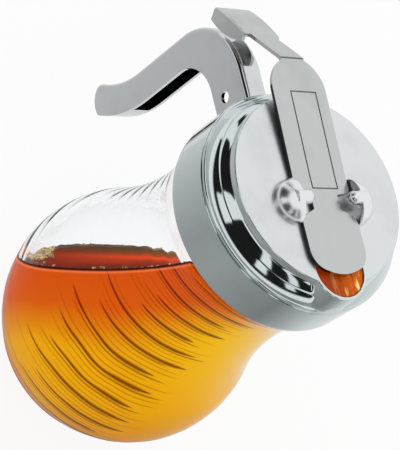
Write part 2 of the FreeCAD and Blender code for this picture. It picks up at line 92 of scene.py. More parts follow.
class Graph:
    """A node tree with short ways to add nodes and join them."""

    def __init__(self, tree: bpy.types.NodeTree) -> None:
        """Keeps the tree."""
        self.tree = tree

    def add(self, kind: str, **settings: object) -> bpy.types.Node:
        """Adds a node and sets its properties or its inputs.

        Args:
            kind: The node's type name.
            **settings: Properties of the node, or inputs with blanks written as underscores.

        Returns:
            The new node.
        """
        node = self.tree.nodes.new(kind)
        for name, value in settings.items():
            if hasattr(node, name):
                setattr(node, name, value)
            else:
                self.feed(node, name.replace("_", " "), value)
        return node

    def feed(self, node: bpy.types.Node, name: str | int, value: object) -> None:
        """Sets an input, or links it when the value is a socket.

        Args:
            node: The node that takes the value.
            name: The input's name or number.
            value: A plain value or an output socket.
        """
        socket = node.inputs[name]
        if isinstance(value, bpy.types.NodeSocket):
            self.tree.links.new(value, socket)
        else:
            socket.default_value = value

    def math(self, operation: str, first: object, second: object = 0.0,
             third: object = 0.0) -> bpy.types.NodeSocket:
        """Adds a Math node.

        Args:
            operation: Name of the operation.
            first: First value or socket.
            second: Second value or socket.
            third: Third value or socket.

        Returns:
            The result's socket.
        """
        node = self.tree.nodes.new("ShaderNodeMath")
        node.operation = operation
        for number, value in enumerate((first, second, third)):
            self.feed(node, number, value)
        return node.outputs[0]

    def mix(self, share: object, first: object, second: object) -> bpy.types.NodeSocket:
        """Mixes two colours.

        Args:
            share: How much of the second colour shows.
            first: First colour or socket.
            second: Second colour or socket.

        Returns:
            The mixed colour's socket.
        """
        node = self.tree.nodes.new("ShaderNodeMix")
        node.data_type = "RGBA"
        self.feed(node, 0, share)
        self.feed(node, 6, first)
        self.feed(node, 7, second)
        return node.outputs[2]

    def ramp(self, value: object, stops: Sequence[tuple[float, tuple]]) -> bpy.types.NodeSocket:
        """Colour ramp over a value.

        Args:
            value: The socket that is looked up.
            stops: Places from 0 to 1 with linear colours.

        Returns:
            The colour's socket.
        """
        node = self.tree.nodes.new("ShaderNodeValToRGB")
        self.feed(node, 0, value)
        elements = node.color_ramp.elements
        while len(elements) < len(stops):
            elements.new(0.5)
        for element, (place, colour) in zip(elements, stops):
            element.position = place
            element.color = colour
        return node.outputs[0]

    def smooth(self, value: object, low: float, high: float) -> bpy.types.NodeSocket:
        """Smooth step from 0 at low to 1 at high."""
        node = self.tree.nodes.new("ShaderNodeMapRange")
        node.interpolation_type = "SMOOTHSTEP"
        self.feed(node, 0, value)
        self.feed(node, 1, low)
        self.feed(node, 2, high)
        return node.outputs[0]

    def along(self, place: bpy.types.NodeSocket, way: Vector) -> bpy.types.NodeSocket:
        """How far a position lies along a direction."""
        product = self.add("ShaderNodeVectorMath", operation="DOT_PRODUCT")
        self.feed(product, 0, place)
        product.inputs[1].default_value = way
        return product.outputs["Value"]

    def place(self) -> bpy.types.NodeSocket:
        """Position on the piece, in metres."""
        return self.add("ShaderNodeTexCoord").outputs["Object"]


def new_material(name: str) -> tuple[bpy.types.Material, Graph, bpy.types.Node]:
    """Makes a material with a Principled BSDF.

    Args:
        name: The material's name.

    Returns:
        The material, its graph and its Principled BSDF.
    """
    material = bpy.data.materials.new(name)
    material.use_nodes = True
    tree = material.node_tree
    tree.nodes.clear()
    graph = Graph(tree)
    shader = graph.add("ShaderNodeBsdfPrincipled")
    output = graph.add("ShaderNodeOutputMaterial")
    tree.links.new(shader.outputs[0], output.inputs["Surface"])
    return material, graph, shader


@dataclass(frozen=True)
class Metal:
    """Polished or satin metal with fine scratches, smudges and slightly uneven gloss."""

    name: str
    colour: tuple[float, float, float, float]
    roughness: float = 0.06
    brushed: float = 0.0
    smudge: float = 0.03
    smudge_shade: float = 0.93

    def build(self) -> bpy.types.Material:
        """Makes the material."""
        material, graph, shader = new_material(self.name)
        wear = graph.add("ShaderNodeGroup")
        wear.node_tree = WearGroup().tree()
        graph.feed(wear, "Position", graph.place())
        graph.feed(wear, "Brushed", self.brushed)
        graph.feed(shader, "Metallic", 1.0)
        dark = tuple(self.smudge_shade * part for part in self.colour[:3]) + (1.0,)
        graph.feed(shader, "Base Color", graph.mix(wear.outputs["Smudge"], self.colour, dark))
        rough = graph.math("MULTIPLY_ADD", wear.outputs["Smudge"], self.smudge, self.roughness)
        graph.feed(shader, "Roughness", rough)
        bump = graph.add("ShaderNodeBump", Strength=0.12 if self.brushed else 0.02, Distance=0.0001)
        graph.feed(bump, "Height", wear.outputs["Scratches"])
        graph.feed(shader, "Normal", bump.outputs[0])
        return material


class WearGroup:
    """Node group for the fine scratches and smudges of handled metal."""

    NAME = "handled_metal"

    def tree(self) -> bpy.types.NodeTree:
        """Builds the group once and gives it back."""
        if self.NAME in bpy.data.node_groups:
            return bpy.data.node_groups[self.NAME]
        tree = bpy.data.node_groups.new(self.NAME, "ShaderNodeTree")
        tree.interface.new_socket("Position", in_out="INPUT", socket_type="NodeSocketVector")
        tree.interface.new_socket("Brushed", in_out="INPUT", socket_type="NodeSocketFloat")
        tree.interface.new_socket("Smudge", in_out="OUTPUT", socket_type="NodeSocketFloat")
        tree.interface.new_socket("Scratches", in_out="OUTPUT", socket_type="NodeSocketFloat")
        graph = Graph(tree)
        source = graph.add("NodeGroupInput")
        result = graph.add("NodeGroupOutput")
        cloud = graph.add("ShaderNodeTexNoise", Scale=70.0, Detail=3.0, Roughness=0.6)
        tree.links.new(source.outputs["Position"], cloud.inputs["Vector"])
        smudge = graph.smooth(cloud.outputs["Fac"], 0.45, 0.75)
        stretch = graph.add("ShaderNodeMapping")
        stretch.inputs["Scale"].default_value = (150.0, 9000.0, 3000.0)
        tree.links.new(source.outputs["Position"], stretch.inputs["Vector"])
        lines = graph.add("ShaderNodeTexNoise", Scale=1.0, Detail=2.0)
        tree.links.new(stretch.outputs[0], lines.inputs["Vector"])
        fine = graph.add("ShaderNodeTexNoise", Scale=900.0, Detail=2.0)
        tree.links.new(source.outputs["Position"], fine.inputs["Vector"])
        scratches = graph.mix(source.outputs["Brushed"], fine.outputs["Fac"], lines.outputs["Fac"])
        tree.links.new(smudge, result.inputs["Smudge"])
        tree.links.new(scratches, result.inputs["Scratches"])
        return tree


@dataclass(frozen=True)
class ClearGlass:
    """Clear, faintly cool glass; its low bending of light keeps haze off the honey behind it."""

    name: str = "clear_soda_glass"
    roughness: float = 0.01
    colour: tuple[float, float, float, float] = (0.985, 0.995, 1.0, 1.0)
    bending: float = 1.22
    mirror_tint: tuple[float, float, float, float] = (0.25, 0.25, 0.25, 1.0)

    def build(self) -> bpy.types.Material:
        """Makes the material."""
        material, graph, shader = new_material(self.name)
        graph.feed(shader, "Base Color", self.colour)
        graph.feed(shader, "Transmission Weight", 1.0)
        graph.feed(shader, "IOR", self.bending)
        graph.feed(shader, "Specular Tint", self.mirror_tint)
        graph.feed(shader, "Metallic", 0.0)
        cloud = graph.add("ShaderNodeTexNoise", Scale=40.0, Detail=2.0)
        graph.feed(cloud, "Vector", graph.place())
        graph.feed(shader, "Roughness", graph.math("MULTIPLY", cloud.outputs["Fac"], self.roughness))
        return material


@dataclass(frozen=True)
class Level:
    """The honey's tilted surface, which sags a little along its run."""

    tilt: float = 65.85
    turn: float = 4.88
    distance: float = 33.57 * MM
    sag: float = 1.6
    sag_depth: float = 2.2 * MM
    sag_middle: float = 44.0 * MM

    @property
    def normal(self) -> Vector:
        """Unit vector out of the surface."""
        tilt, turn = math.radians(self.tilt), math.radians(self.turn)
        return Vector((-math.sin(tilt) * math.cos(turn), -math.sin(tilt) * math.sin(turn), math.cos(tilt)))

    @property
    def run(self) -> Vector:
        """Unit vector along the surface, towards the mouth."""
        return (Vector((0.0, 0.0, 1.0)) - self.normal * self.normal.z).normalized()

    def lift(self, point: Vector) -> float:
        """How far the sagging surface stands above its middle plane, under or over a point."""
        return self.sag * (point.dot(self.run) - self.sag_middle) ** 2 - self.sag_depth

    def height(self, point: Vector) -> float:
        """Height of a point above the surface."""
        return self.normal.dot(point) - self.distance - self.lift(point)


@dataclass(frozen=True)
class HoneyFinish:
    """Clear honey, painted with the light that passes through it: orange-red under its surface, amber lower
    down, yellow towards the mouth; it also glows with painted light.
    """

    name: str = "clear_honey"
    level: Level = field(default_factory=Level)
    glow: float = 0.26
    ring_shade_tint: tuple[float, float, float] = (0.25, 0.13, 0.2)
    climb: float = 21.0 * MM / math.tau
    first: float = 2.4 * MM
    pitch: float = 7.0 * MM
    lines: tuple[tuple[float, float, float, float], ...] = (
        (0.0, 0.2, 1.0, 3.3), (0.2, 0.08, 0.75, 5.1), (0.43, 0.05, 0.45, 9.7), (0.7, 0.05, 0.5, 14.2))

    def build(self) -> bpy.types.Material:
        """Makes the material."""
        material, graph, shader = new_material(self.name)
        place = graph.place()
        parts = graph.add("ShaderNodeSeparateXYZ")
        graph.feed(parts, 0, place)
        east, north, high = parts.outputs
        height = graph.along(place, self.level.normal)
        off = graph.math("SUBTRACT", graph.along(place, self.level.run), self.level.sag_middle)
        square = graph.math("MULTIPLY", off, off)
        lift = graph.math("MULTIPLY_ADD", square, self.level.sag, -self.level.sag_depth)
        depth = graph.math("SUBTRACT", self.level.distance, height)
        skin = graph.math("ADD", depth, lift)
        turn = graph.math("ARCTAN2", north, east)
        cloud = graph.add("ShaderNodeTexNoise", Scale=28.0, Detail=2.0)
        graph.feed(cloud, "Vector", place)
        drift = graph.math("MULTIPLY_ADD", cloud.outputs["Fac"], 0.016, -0.008)
        depth = graph.math("ADD", depth, drift)
        # Painted light: the colour by depth under the surface stands in for light passing through the honey.
        colour = graph.ramp(graph.math("MULTIPLY", depth, 1.0 / 0.06), (
            (0.0, srgb(206, 76, 4)), (0.20, srgb(208, 86, 4)), (0.33, srgb(214, 126, 5)),
            (0.46, srgb(224, 158, 5)), (0.75, srgb(220, 156, 5)), (1.0, srgb(206, 136, 6))))
        # Painted light: brighter yellow on one side and higher up, where light shines through the honey.
        lit_side_glow = graph.math("MULTIPLY_ADD", graph.math("COSINE", graph.math("SUBTRACT", turn, 0.35)), 0.5,
                           graph.math("MULTIPLY", high, 10.0))
        lit_side_glow = graph.math("MULTIPLY", graph.smooth(lit_side_glow, 0.72, 1.4), graph.smooth(depth, 0.009, 0.026))
        colour = graph.mix(lit_side_glow, colour, srgb(232, 182, 2))
        # Painted light: orange towards the base stands in for the glowing rim of light along the honey's
        # edge.
        heel = graph.math("SUBTRACT", 1.0, graph.smooth(high, 0.004, 0.017))
        colour = graph.mix(graph.math("MULTIPLY", heel, 0.75), colour, srgb(202, 98, 24))
        # Painted shade: dark lines multiplied into the colour, standing in for the glass rings bending the
        # light.
        ring_shade_lines = self.ring_shade_lines(graph, place, turn, high)
        shade = graph.add("ShaderNodeVectorMath", operation="MULTIPLY")
        graph.feed(shade, 0, colour)
        shade.inputs[1].default_value = self.ring_shade_tint
        colour = graph.mix(ring_shade_lines, colour, shade.outputs[0])
        # Painted shade: a dark band on the honey's side just under its surface.
        below = graph.math("SUBTRACT", 1.0, graph.smooth(skin, 0.5 * MM, 0.75 * MM))
        colour = graph.mix(below, colour, srgb(58, 12, 3))
        # Painted highlight: a pale pink line a little under the dark band.
        pale = graph.math("MULTIPLY", graph.smooth(skin, 0.7 * MM, 0.95 * MM),
                          graph.math("SUBTRACT", 1.0, graph.smooth(skin, 1.1 * MM, 1.6 * MM)))
        colour = graph.mix(graph.math("MULTIPLY", pale, 0.5), colour, srgb(238, 140, 84))
        graph.feed(shader, "Base Color", colour)
        # Painted light: the honey glows with its own colour, though it is no lamp.
        graph.feed(shader, "Emission Color", colour)
        graph.feed(shader, "Emission Strength", self.glow)
        graph.feed(shader, "Roughness", 0.25)
        graph.feed(shader, "Specular IOR Level", 0.03)
        return material

    def ring_shade_lines(self, graph: Graph, place: bpy.types.NodeSocket, turn: bpy.types.NodeSocket,
                high: bpy.types.NodeSocket) -> bpy.types.NodeSocket:
        """Painted shade: dark tapering lines in the honey's colour that stand in for the glass rings bending
        the light, one group to each ring of the glass.

        Args:
            graph: The material's graph.
            place: Position.
            turn: Compass angle round the axis, in radians.
            high: Height above the base.

        Returns:
            1 in a painted line, 0 elsewhere.
        """
        wave = graph.add("ShaderNodeTexNoise", Scale=45.0, Detail=1.0)
        graph.feed(wave, "Vector", place)
        bend = graph.math("MULTIPLY_ADD", wave.outputs["Fac"], 0.0026, -0.0013)
        level = graph.math("MULTIPLY_ADD", turn, -self.climb, graph.math("ADD", high, bend))
        half_turn = graph.math("FRACT", graph.math("MULTIPLY_ADD", turn, 1.0 / math.pi, 0.556))
        result = None
        for shift, width, weight, seed in self.lines:
            above = graph.math("SUBTRACT", level, self.first)
            row = graph.math("MULTIPLY_ADD", above, 1.0 / self.pitch, shift)
            number = graph.math("FLOOR", graph.math("ADD", row, 0.5))
            off = graph.math("ABSOLUTE", graph.math("SUBTRACT", row, number))
            lot = graph.add("ShaderNodeTexWhiteNoise", noise_dimensions="1D")
            graph.feed(lot, "W", graph.math("ADD", number, seed))
            draws = graph.add("ShaderNodeSeparateXYZ")
            graph.feed(draws, 0, lot.outputs["Color"])
            start = graph.math("MULTIPLY", draws.outputs[0], 0.2)
            end = graph.math("MULTIPLY_ADD", draws.outputs[1], 0.11, 0.42)
            gone = graph.math("SUBTRACT", half_turn, start)
            along = graph.math("DIVIDE", gone, graph.math("SUBTRACT", end, start))
            swell = graph.math("POWER", graph.math("MAXIMUM", along, 0.0), 0.5)
            swell = graph.math("MULTIPLY", swell, graph.math("SUBTRACT", 1.0, graph.smooth(along, 0.78, 1.0)))
            uneven = graph.add("ShaderNodeTexNoise", Scale=38.0, Detail=1.0)
            shifted = graph.add("ShaderNodeVectorMath", operation="ADD")
            graph.feed(shifted, 0, place)
            shifted.inputs[1].default_value = (seed, seed, seed)
            graph.feed(uneven, "Vector", shifted.outputs[0])
            swell = graph.math("MULTIPLY", swell, graph.smooth(uneven.outputs["Fac"], 0.0, 0.45))
            edge = graph.math("MULTIPLY_ADD", swell, width, 0.014)
            inside = graph.math("SUBTRACT", 1.0, graph.math("DIVIDE", off, edge))
            depth = graph.math("MULTIPLY", graph.smooth(swell, 0.0, 0.32), weight)
            line = graph.math("MULTIPLY", graph.smooth(inside, 0.0, 0.9), depth)
            result = line if result is None else graph.math("MAXIMUM", result, line)
        return result


@dataclass(frozen=True)
class HoneySurface:
    """The honey's open surface, seen at a glancing angle and painted with the light it shows from there: dark
    red-brown with a red middle and an olive far edge, painted shade towards both ends and a painted glow.
    """

    name: str = "honey_surface"
    far: tuple[float, float, float] = (-0.445, 0.587, -0.676)
    glow: float = 0.35

    def build(self) -> bpy.types.Material:
        """Makes the material."""
        material, graph, shader = new_material(self.name)
        place = graph.place()
        away = graph.add("ShaderNodeVectorMath", operation="DOT_PRODUCT")
        graph.feed(away, 0, place)
        away.inputs[1].default_value = self.far
        cloud = graph.add("ShaderNodeTexNoise", Scale=60.0, Detail=3.0)
        graph.feed(cloud, "Vector", place)
        distance = graph.math("MULTIPLY_ADD", cloud.outputs["Fac"], 0.012, away.outputs["Value"])
        # Painted light: colours across the surface stand in for light through and off the honey at a glancing
        # angle.
        colour = graph.ramp(graph.smooth(distance, -0.04, 0.028), (
            (0.0, srgb(104, 30, 10)), (0.3, srgb(156, 44, 10)), (0.55, srgb(216, 62, 6)),
            (0.74, srgb(150, 64, 12)), (0.9, srgb(104, 84, 10)), (1.0, srgb(112, 92, 18))))
        ends = graph.add("ShaderNodeVectorMath", operation="DOT_PRODUCT")
        graph.feed(ends, 0, place)
        ends.inputs[1].default_value = Level().run
        middle = graph.math("MULTIPLY", graph.smooth(ends.outputs["Value"], 0.0, 0.034),
                            graph.math("SUBTRACT", 1.0, graph.smooth(ends.outputs["Value"], 0.06, 0.09)))
        # Painted shade: darker towards both ends of the surface.
        colour = graph.mix(graph.math("MULTIPLY_ADD", middle, -0.75, 0.75), colour, srgb(70, 24, 6))
        graph.feed(shader, "Base Color", colour)
        # Painted light: the surface glows, though it is no lamp.
        graph.feed(shader, "Emission Color", colour)
        graph.feed(shader, "Emission Strength", self.glow)
        graph.feed(shader, "Roughness", 0.2)
        graph.feed(shader, "Specular IOR Level", 0.0)
        shader.inputs["IOR"].default_value = 1.02
        return material


@dataclass(frozen=True)
class HoneyEdge:
    """The dark edge where the honey climbs a little up the glass; its dark olive is painted shade of the
    meniscus.
    """

    name: str = "honey_edge"

    def build(self) -> bpy.types.Material:
        """Makes the material."""
        material, graph, shader = new_material(self.name)
        cloud = graph.add("ShaderNodeTexNoise", Scale=120.0, Detail=2.0)
        graph.feed(cloud, "Vector", graph.place())
        # Painted shade: dark olive mottling on the meniscus faces.
        colour = graph.ramp(cloud.outputs["Fac"], ((0.35, srgb(78, 50, 6)), (0.7, srgb(150, 118, 44))))
        graph.feed(shader, "Base Color", colour)
        graph.feed(shader, "Roughness", 0.15)
        graph.feed(shader, "Specular IOR Level", 0.1)
        return material


@dataclass(frozen=True)
class MouthHoney:
    """Honey in the mouth: glossy orange, painted lighter on one side, with pale strands of painted highlight
    and dark strands drawn out along the flow, and a painted glow.
    """

    name: str = "honey_in_mouth"

    def build(self) -> bpy.types.Material:
        """Makes the material."""
        material, graph, shader = new_material(self.name)
        place = graph.place()
        stretched = graph.add("ShaderNodeVectorMath", operation="MULTIPLY")
        graph.feed(stretched, 0, place)
        stretched.inputs[1].default_value = (90.0, 620.0, 90.0)
        flow = graph.add("ShaderNodeTexNoise", Scale=1.0, Detail=2.0)
        graph.feed(flow, "Vector", stretched.outputs[0])
        parts = graph.add("ShaderNodeSeparateXYZ")
        graph.feed(parts, 0, place)
        # Painted light: darker orange on one side, lighter on the other.
        side = graph.smooth(parts.outputs[1], -0.006, 0.007)
        colour = graph.mix(side, srgb(146, 48, 0), srgb(192, 88, 2))
        # Painted highlight: pale strands along the flow on the lighter side.
        pale = graph.math("MULTIPLY", graph.smooth(flow.outputs["Fac"], 0.56, 0.66), side)
        colour = graph.mix(graph.math("MULTIPLY", pale, 0.85), colour, srgb(250, 226, 150))
        dark = graph.math("SUBTRACT", 1.0, graph.smooth(flow.outputs["Fac"], 0.34, 0.44))
        dark = graph.math("MULTIPLY", dark, side)
        colour = graph.mix(graph.math("MULTIPLY", dark, 0.8), colour, srgb(92, 40, 6))
        graph.feed(shader, "Base Color", colour)
        # Painted light: the honey glows, though it is no lamp.
        graph.feed(shader, "Emission Color", colour)
        graph.feed(shader, "Emission Strength", 0.2)
        graph.feed(shader, "Roughness", 0.1)
        graph.feed(shader, "Specular IOR Level", 0.08)
        return material


@dataclass(frozen=True)
class Foam:
    """Tiny bubbles: glossy, gold with dark sides."""

    name: str = "honey_foam"

    def build(self) -> bpy.types.Material:
        """Makes the material."""
        material, graph, shader = new_material(self.name)
        cloud = graph.add("ShaderNodeTexNoise", Scale=900.0, Detail=1.0)
        graph.feed(cloud, "Vector", graph.place())
        colour = graph.ramp(cloud.outputs["Fac"], ((0.35, srgb(120, 66, 20)), (0.55, srgb(246, 208, 120))))
        graph.feed(shader, "Base Color", colour)
        graph.feed(shader, "Roughness", 0.08)
        return material


# ---- studio ---------------------------------------------------------------------------


def straight_mirror(graph: Graph, rays: bpy.types.Node) -> bpy.types.NodeSocket:
    """Mask of what a surface in front of the glass mirrors.

    Args:
        graph: The graph.
        rays: Its Light Path node.

    Returns:
        1 for a mirrored ray that has passed no glass, 0 otherwise.
    """
    outside = graph.math("LESS_THAN", rays.outputs["Transmission Depth"], 0.5)
    return graph.math("MULTIPLY", rays.outputs["Is Glossy Ray"], outside)


@dataclass
class Studio:
    """Camera, pale floor, lamps and the white surroundings."""

    place: tuple[float, float, float] = (0.1840, -0.3753, 0.5448)
    right: tuple[float, float, float] = (0.21918853, 0.80332885, 0.55373202)
    up: tuple[float, float, float] = (-0.9244639, -0.01046855, 0.38112583)
    back: tuple[float, float, float] = (0.31196615, -0.59544367, 0.74035394)
    lens: float = 180.0
    sensor: float = 36.0
    floor_size: float = 6.0
    bright_side: tuple[float, float, float, float] = (0.92, 0.93, 0.93, 1.0)
    dark_wall: tuple[float, float, float, float] = (0.012, 0.012, 0.012, 1.0)
    dark_rise: tuple[float, float, float, float] = (7.0, 11.0, 54.0, 60.0)
    bars: tuple[tuple[float, float], ...] = (
        (-112.0, -84.0), (-40.0, -27.0), (-6.0, 4.0), (18.0, 170.0), (-180.0, -162.0))

    def build(self) -> None:
        """Makes everything round the object."""
        self.add_camera()
        self.add_floor()
        self.add_world()
        self.add_lamps()
        scene = bpy.context.scene
        scene.view_settings.view_transform = "Standard"

    def add_camera(self) -> None:
        """A long lens, tipped on its side, looking down at the lid."""
        camera = bpy.data.cameras.new("camera")
        camera.lens = self.lens
        camera.sensor_width = self.sensor
        camera.sensor_fit = "HORIZONTAL"
        camera.clip_start = 0.01
        camera.clip_end = 20.0
        holder = bpy.data.objects.new("camera", camera)
        turn = Matrix((self.right, self.up, self.back)).transposed().to_4x4()
        holder.matrix_world = Matrix.Translation(self.place) @ turn
        bpy.context.scene.collection.objects.link(holder)
        bpy.context.scene.camera = holder

    def add_floor(self) -> None:
        """A pale floor that looks white to the camera and keeps a soft shadow."""
        half = self.floor_size / 2
        mesh = bpy.data.meshes.new("floor")
        corners = [(-half, -half, 0), (half, -half, 0), (half, half, 0), (-half, half, 0)]
        mesh.from_pydata(corners, [], [(0, 1, 2, 3)])
        floor = bpy.data.objects.new("floor", mesh)
        floor.location.z = -0.0005
        bpy.context.scene.collection.objects.link(floor)
        material, graph, shader = new_material("pale_floor")
        graph.feed(shader, "Base Color", (0.80, 0.80, 0.80, 1.0))
        graph.feed(shader, "Roughness", 0.9)
        graph.feed(shader, "Specular IOR Level", 0.0)
        rays = graph.add("ShaderNodeLightPath")
        seen = graph.math("MAXIMUM", rays.outputs["Is Camera Ray"], rays.outputs["Is Transmission Ray"])
        seen = graph.math("MAXIMUM", seen, rays.outputs["Is Glossy Ray"])
        mirrored = straight_mirror(graph, rays)
        glow = graph.add("ShaderNodeEmission", Strength=1.0)
        graph.feed(glow, "Color", graph.mix(mirrored, (1.0, 1.0, 1.0, 1.0), self.mirrored_floor(graph)))
        blend = graph.add("ShaderNodeMixShader")
        graph.feed(blend, 0, graph.math("MULTIPLY", seen, 0.9))
        graph.feed(blend, 1, shader.outputs[0])
        graph.feed(blend, 2, glow.outputs[0])
        output = [node for node in material.node_tree.nodes if node.type == "OUTPUT_MATERIAL"][0]
        graph.feed(output, "Surface", blend.outputs[0])
        mesh.materials.append(material)

    def mirrored_floor(self, graph: Graph) -> bpy.types.NodeSocket:
        """Greys of the floor as the metal mirrors it, darkest in front of the mouth.

        Args:
            graph: The floor material's graph.

        Returns:
            The colour.
        """
        parts = graph.add("ShaderNodeSeparateXYZ")
        graph.feed(parts, 0, graph.place())
        turn = graph.math("ARCTAN2", parts.outputs[1], parts.outputs[0])
        share = graph.math("MULTIPLY_ADD", turn, 1.0 / math.tau, 0.5)
        greys = ((0.0, 0.68), (0.10, 0.54), (0.18, 0.42), (0.26, 0.33), (0.34, 0.36), (0.44, 0.26),
                 (0.51, 0.2), (0.57, 0.4), (0.64, 0.72), (0.75, 0.85), (0.9, 0.8))
        return graph.ramp(share, [(place, (grey, grey * 1.01, grey * 1.01, 1.0)) for place, grey in greys])

    def add_world(self) -> None:
        """White surroundings, with a dark side and bright bars for the metal to mirror."""
        world = bpy.data.worlds.new("studio")
        bpy.context.scene.world = world
        world.use_nodes = True
        tree = world.node_tree
        tree.nodes.clear()
        graph = Graph(tree)
        way = graph.add("ShaderNodeTexCoord").outputs["Generated"]
        parts = graph.add("ShaderNodeSeparateXYZ")
        graph.feed(parts, 0, way)
        east, north, high = parts.outputs
        turn = graph.math("ARCTAN2", north, east)
        turn = graph.math("MULTIPLY", turn, 180.0 / math.pi)
        rise = graph.math("MULTIPLY", graph.math("ARCSINE", high), 180.0 / math.pi)
        mirrored = graph.mix(self.dark_side(graph, turn, rise), self.bright_side, self.dark_wall)
        rays = graph.add("ShaderNodeLightPath")
        colour = graph.mix(straight_mirror(graph, rays), (1.0, 1.0, 1.0, 1.0), mirrored)
        light = graph.add("ShaderNodeBackground")
        graph.feed(light, "Color", colour)
        seen = graph.math("MAXIMUM", rays.outputs["Is Camera Ray"], rays.outputs["Is Transmission Ray"])
        seen = graph.math("MAXIMUM", seen, rays.outputs["Is Glossy Ray"])
        graph.feed(light, "Strength", graph.math("MULTIPLY_ADD", seen, 0.35, 0.65))
        output = graph.add("ShaderNodeOutputWorld")
        graph.feed(output, "Surface", light.outputs[0])

    def dark_side(self, graph: Graph, turn: bpy.types.NodeSocket,
                  rise: bpy.types.NodeSocket) -> bpy.types.NodeSocket:
        """Mask of the dark surroundings on the near side, broken by bright bars.

        Args:
            graph: The world's graph.
            turn: Compass angle of the direction, in degrees.
            rise: Height angle of the direction, in degrees.

        Returns:
            1 where it is dark, 0 where it is bright.
        """
        low = graph.smooth(rise, *self.dark_rise[:2])
        top = graph.math("SUBTRACT", 1.0, graph.smooth(rise, *self.dark_rise[2:]))
        dark = graph.math("MULTIPLY", low, top)
        for start, end in self.bars:
            inside = graph.math("MULTIPLY", graph.smooth(turn, start - 1.5, start + 1.5),
                                graph.math("SUBTRACT", 1.0, graph.smooth(turn, end - 1.5, end + 1.5)))
            if -150.0 < start < 10.0:
                inside = graph.math("MULTIPLY", inside, graph.smooth(rise, 14.0, 18.0))
            dark = graph.math("MULTIPLY", dark, graph.math("SUBTRACT", 1.0, inside))
        return dark

    def add_lamps(self) -> None:
        """Soft lamps: a large one overhead behind the object and a weaker one from the front."""
        for name, place, size, power in (
            ("key_lamp", (-0.5, 0.9, 1.1), 0.9, 9.0),
            ("fill_lamp", (0.9, -0.8, 0.9), 0.8, 4.0),
        ):
            lamp = bpy.data.lights.new(name, "AREA")
            lamp.shape = "DISK"
            lamp.size = size
            lamp.energy = power
            holder = bpy.data.objects.new(name, lamp)
            holder.location = place
            holder.visible_glossy = False
            aim = Vector((0, 0, 0.08)) - Vector(place)
            holder.rotation_euler = aim.to_track_quat("-Z", "Y").to_euler()
            bpy.context.scene.collection.objects.link(holder)


# ---- meshes ---------------------------------------------------------------------------


def make_piece(name: str, mesh: bpy.types.Mesh, finish: Sequence[bpy.types.Material], body: Body,
               smooth: float = 40.0) -> bpy.types.Object:
    """Puts a mesh in the scene as a piece of the object.

    Args:
        name: The piece's name.
        mesh: Its mesh, in metres in the object's frame.
        finish: Its materials, in the order of the mesh's material numbers.
        body: The body that it rides on.
        smooth: Edges sharper than this angle stay sharp, in degrees.

    Returns:
        The new object.
    """
    piece = bpy.data.objects.new(name, mesh)
    bpy.context.scene.collection.objects.link(piece)
    for material in finish:
        mesh.materials.append(material)
    mesh.shade_smooth()
    mesh.set_sharp_from_angle(angle=math.radians(smooth))
    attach(piece, body.value)
    LOG.info("%s: %d faces, on %s", name, len(mesh.polygons), body.value)
    return piece


def turned_mesh(name: str, outline: Sequence[tuple[float, float]], turns: int,
                closed: bool = False) -> bpy.types.Mesh:
    """Turns an outline about the vertical axis.

    Args:
        name: The mesh's name.
        outline: Radius and height of each point, in metres; a radius of 0 closes the form.
        turns: Number of steps round the axis.
        closed: True when the last point joins the first.

    Returns:
        The mesh.
    """
    build = bmesh.new()
    rings = []
    for radius, height in outline:
        if radius < 1e-7:
            rings.append([build.verts.new((0.0, 0.0, height))])
            continue
        rings.append([build.verts.new((radius * math.cos(math.tau * step / turns),
                                       radius * math.sin(math.tau * step / turns), height))
                      for step in range(turns)])
    pairs = list(zip(rings, rings[1:]))
    if closed:
        pairs.append((rings[-1], rings[0]))
    for low, high in pairs:
        for step in range(turns):
            after = (step + 1) % turns
            corners = [low[step % len(low)], low[after % len(low)],
                       high[after % len(high)], high[step % len(high)]]
            corners = list(dict.fromkeys(corners))
            if len(corners) > 2:
                build.faces.new(corners)
    bmesh.ops.recalc_face_normals(build, faces=build.faces)
    mesh = bpy.data.meshes.new(name)
    build.to_mesh(mesh)
    build.free()
    return mesh


# ---- jar and honey --------------------------------------------------------------------


@dataclass
class JarForm:
    """Outline of the jar: round belly, hollow neck and fine rings, in metres."""

    belly: float = 42.1 * MM
    belly_height: float = 31.4 * MM
    foot: float = 26.6 * MM
    waist: float = 30.1 * MM
    waist_height: float = 89.5 * MM
    flare: float = 52.0 * MM
    top: float = 111.1 * MM
    rim: float = 128.0 * MM
    finish: float = 32.2 * MM
    wall: float = 2.5 * MM
    floor: float = 4.2 * MM
    first: float = 6.0 * MM
    pitch: float = 7.0 * MM
    relief: float = 0.1 * MM
    upper_relief: float = 0.03 * MM
    fade_start: float = 20.0 * MM
    fade_length: float = 22.0 * MM

    def arc(self, inset: float = 0.0) -> float:
        """Radius of the hollow arc between waist and belly, for an outline that much further in."""
        belly, waist = self.belly - inset, self.waist - inset
        drop = self.waist_height - self.belly_height
        return (drop * drop + waist * waist - belly * belly) / (2 * (belly - waist))

    def radius(self, height: float, inset: float = 0.0) -> float:
        """Smooth radius at a height.

        Args:
            height: Height above the base.
            inset: How far inside the outer face the outline lies.

        Returns:
            The radius.
        """
        belly, waist = self.belly - inset, self.waist - inset
        arc = self.arc(inset)
        join = self.belly_height + (self.waist_height - self.belly_height) * belly / (arc + belly)
        if height < join:
            rise = height - self.belly_height
            return math.sqrt(max(belly * belly - rise * rise, 0.0))
        if height > self.waist_height:
            arc = self.flare + inset
        off = height - self.waist_height
        return waist + arc - math.sqrt(arc * arc - off * off)

    def ringed(self, height: float) -> float:
        """Outer radius at a height, with the rounded rings, which fade towards the neck."""
        share = ((height - self.first) / self.pitch) % 1.0
        fade = min(1.0, max(0.0, (height - 2.0 * MM) / (4.0 * MM)))
        rise = min(1.0, max(0.0, (height - self.fade_start) / self.fade_length))
        relief = self.relief + (self.upper_relief - self.relief) * rise
        return self.radius(height) + relief * math.sin(math.pi * share) ** 1.4 * fade


